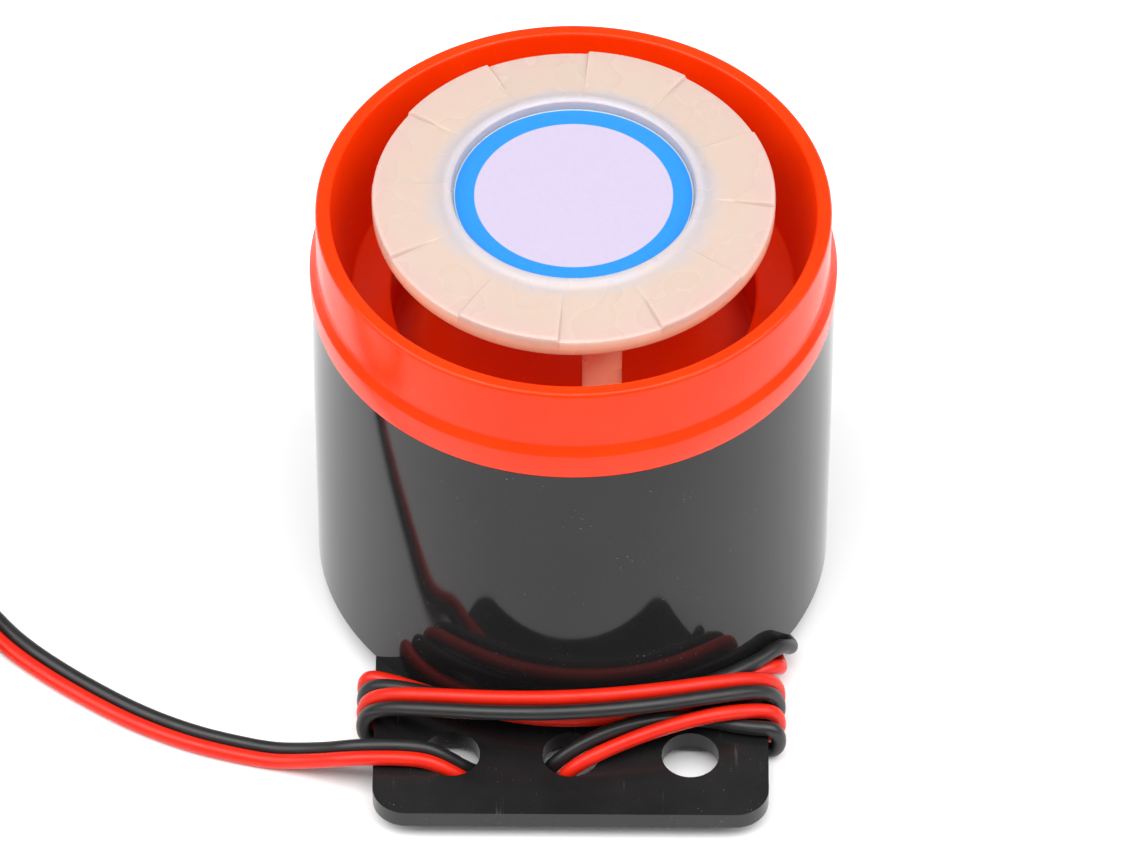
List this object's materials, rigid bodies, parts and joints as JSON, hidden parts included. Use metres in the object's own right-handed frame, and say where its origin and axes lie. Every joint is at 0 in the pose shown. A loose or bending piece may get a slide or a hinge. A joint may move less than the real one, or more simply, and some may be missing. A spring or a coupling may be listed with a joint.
{
  "type": "alarm siren",
  "caption": "Small round piezo alarm siren: black cup, orange horn ring, white diffuser, flat tab with holes, twin lead wound round the tab.",
  "frame": {"origin": "on the siren's axis, in the plane of the flat back face of its rear plate and mounting tab", "axes": "+Z along the siren's axis and out of its mouth, -Y towards the mounting tab, +X to the right seen from the tab's side"},
  "size_m": [0.107, 0.0524, 0.0448],
  "materials": {
    "black_abs": "moulded gloss ABS with fine scuffs",
    "orange_abs": "satin-gloss orange-red ABS",
    "milky_plastic": "translucent milky plastic, softly glossy",
    "printed_film": "printed film, blue ring round a pale lilac middle",
    "foam_rubber": "soft black rubber",
    "brass_plate": "rolled brass",
    "piezo_ceramic": "silvered ceramic",
    "clamp_plastic": "moulded nylon",
    "zinc_steel": "zinc-plated steel",
    "board_laminate": "brown paper laminate",
    "ferrite": "pressed ferrite",
    "copper_wire": "enamelled copper wire",
    "chip_resin": "moulded black resin",
    "tinned_metal": "tinned copper",
    "capacitor_sleeve": "shrunk sleeve",
    "ceramic_coat": "dipped lacquer",
    "resistor_coat": "beige lacquer",
    "lead_red": "soft satin PVC insulation, red",
    "lead_black": "soft satin PVC insulation, black",
    "tie_plastic": "coated twist tie"
  },
  "bodies": {
    "casing": {"housing_cup": "black_abs", "rear_plate": "black_abs", "horn_ring": "orange_abs", "diffuser": "milky_plastic", "label": "printed_film", "front_gasket": "foam_rubber", "rear_gasket": "foam_rubber", "clamp_ring": "clamp_plastic", "clamp_screws": "zinc_steel", "plate_screws": "zinc_steel", "board_screws": "zinc_steel", "circuit_board": "board_laminate", "boost_coil_core": "ferrite", "boost_coil_winding": "copper_wire", "sound_chip": "chip_resin", "sound_chip_pins": "tinned_metal", "drive_transistor": "chip_resin", "electrolytic_capacitor": "capacitor_sleeve", "ceramic_capacitor": "ceramic_coat", "resistors": "resistor_coat", "polarity_diode": "chip_resin", "piezo_leads": "lead_red", "lead_grommet": "foam_rubber", "supply_wire_red": "lead_red", "supply_wire_black": "lead_black", "cord_winding": "lead_red", "cord_hole_loop": "lead_red", "cord_run": "lead_red", "cord_coil": "lead_red", "cord_tie": "tie_plastic", "cord_tail_red": "lead_red", "cord_tail_black": "lead_black", "cord_tip_red": "tinned_metal", "cord_tip_black": "tinned_metal"},
    "diaphragm": {"piezo_plate": "brass_plate", "piezo_ceramic": "piezo_ceramic"}
  },
  "joints": [
    {"name": "diaphragm_flex", "type": "slide", "parent": "casing", "child": "diaphragm", "axis": [0, 0, 1], "range_m": [-0.0001, 0.0001], "stiffness_N_per_m": 2000, "deforming": ["front_gasket", "rear_gasket", "piezo_leads"]}
  ]
}
